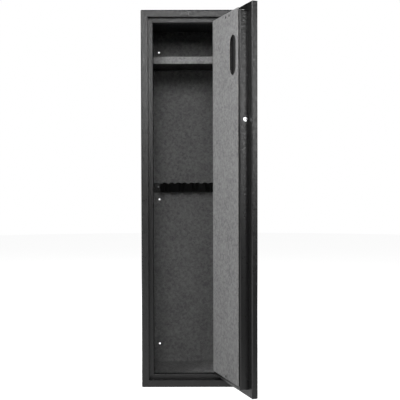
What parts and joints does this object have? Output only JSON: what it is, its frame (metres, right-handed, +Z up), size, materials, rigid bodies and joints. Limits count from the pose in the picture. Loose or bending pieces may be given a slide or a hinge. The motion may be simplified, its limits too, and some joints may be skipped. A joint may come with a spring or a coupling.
{
  "type": "gun safe",
  "caption": "Tall slim steel gun safe with an inset swinging door, grey felt lining, top shelf, foam barrel rack, keypad, knob and sliding side bolt.",
  "frame": {"origin": "centre of the base, on the ground", "axes": "+Z up, +Y towards the back wall, so the doorway faces -Y; +X towards the hinge side"},
  "size_m": [0.4266, 0.6844, 1.45],
  "materials": {
    "black_paint": "satin black powder coat with a fine hammered grain",
    "grey_felt": "mottled mid-grey needled felt carpet",
    "zinc_steel": "zinc-plated steel",
    "bright_steel": "turned bright steel",
    "chrome": "polished chrome plate",
    "brass": "turned brass",
    "black_foam": "closed-cell black foam",
    "fibreboard": "dark hardboard",
    "black_plastic": "fine-textured moulded black plastic",
    "button_plastic": "light grey moulded keys",
    "circuit_board": "green solder mask",
    "battery_wrap": "printed cell sleeve"
  },
  "bodies": {
    "cabinet": {"left_side_panel": "black_paint", "right_side_panel": "black_paint", "top_panel": "black_paint", "bottom_panel": "black_paint", "back_panel": "black_paint", "left_jamb": "black_paint", "right_jamb": "black_paint", "top_jamb": "black_paint", "bottom_jamb": "black_paint", "strike_plate": "zinc_steel", "strike_rivets": "zinc_steel", "back_carpet": "grey_felt", "left_carpet": "grey_felt", "right_carpet": "grey_felt", "ceiling_carpet": "grey_felt", "floor_carpet": "grey_felt", "shelf_tray": "black_paint", "shelf_felt": "grey_felt", "left_shelf_bracket": "black_paint", "right_shelf_bracket": "black_paint", "shelf_screws": "zinc_steel", "rack_rail": "black_paint", "rack_foam": "black_foam", "rack_screws": "zinc_steel", "upper_hinge_bush": "zinc_steel", "lower_hinge_bush": "zinc_steel", "hinge_washer": "brass"},
    "door": {"door_leaf": "black_paint", "door_pan": "black_paint", "door_stiffener": "black_paint", "liner_board": "fibreboard", "liner_felt": "grey_felt", "liner_rivets": "black_plastic", "upper_hinge_pin": "bright_steel", "lower_hinge_pin": "bright_steel", "upper_hinge_block": "zinc_steel", "lower_hinge_block": "zinc_steel", "lock_plate": "zinc_steel", "carrier_posts": "zinc_steel", "bolt_guide": "zinc_steel", "keypad_housing": "black_plastic", "keypad_board": "circuit_board", "battery_tray": "black_plastic", "batteries": "battery_wrap", "knob_bush": "chrome", "solenoid": "black_plastic", "key_lock_body": "chrome"},
    "knob": {"knob": "black_plastic", "spindle": "bright_steel", "cam_disc": "zinc_steel"},
    "bolt": {"side_bolt": "chrome", "bolt_carrier": "zinc_steel"},
    "plunger": {"solenoid_plunger": "bright_steel"},
    "key": {"key_plug": "brass"},
    "battery_cover": {"battery_lid": "black_plastic"},
    "button_1": {"keypad_button_1": "button_plastic"},
    "button_2": {"keypad_button_2": "button_plastic"},
    "button_3": {"keypad_button_3": "button_plastic"},
    "button_4": {"keypad_button_4": "button_plastic"},
    "button_5": {"keypad_button_5": "button_plastic"}
  },
  "joints": [
    {"name": "door_hinge", "type": "hinge", "parent": "cabinet", "child": "door", "pos_m": [0.1415, -0.1995, 0.725], "axis": [0, 0, 1], "range_deg": [-110, 14]},
    {"name": "knob_turn", "type": "hinge", "parent": "door", "child": "knob", "pos_m": [0.22904, -0.39324, 1.011], "axis": [0.9397, 0.342, 0], "range_deg": [0, 90]},
    {"name": "bolt_slide", "type": "slide", "parent": "door", "child": "bolt", "axis": [0.342, -0.9397, 0], "range_m": [0, 0.02208]},
    {"name": "plunger_slide", "type": "slide", "parent": "door", "child": "plunger", "axis": [0, 0, 1], "range_m": [0, 0.005]},
    {"name": "key_turn", "type": "hinge", "parent": "door", "child": "key", "pos_m": [0.21965, -0.39666, 1.1], "axis": [0.9397, 0.342, 0], "range_deg": [0, 90]},
    {"name": "battery_cover_pull", "type": "slide", "parent": "door", "child": "battery_cover", "axis": [-0.9397, -0.342, 0], "range_m": [0, 0.03]},
    {"name": "button_1_press", "type": "slide", "parent": "door", "child": "button_1", "axis": [-0.9397, -0.342, 0], "range_m": [0, 0.0015], "stiffness_N_per_m": 400},
    {"name": "button_2_press", "type": "slide", "parent": "door", "child": "button_2", "axis": [-0.9397, -0.342, 0], "range_m": [0, 0.0015], "stiffness_N_per_m": 400},
    {"name": "button_3_press", "type": "slide", "parent": "door", "child": "button_3", "axis": [-0.9397, -0.342, 0], "range_m": [0, 0.0015], "stiffness_N_per_m": 400},
    {"name": "button_4_press", "type": "slide", "parent": "door", "child": "button_4", "axis": [-0.9397, -0.342, 0], "range_m": [0, 0.0015], "stiffness_N_per_m": 400},
    {"name": "button_5_press", "type": "slide", "parent": "door", "child": "button_5", "axis": [-0.9397, -0.342, 0], "range_m": [0, 0.0015], "stiffness_N_per_m": 400}
  ],
  "couplings": [
    {"joint": "bolt_slide", "follows": "knob_turn", "m_per_rad": 0.014045}
  ]
}
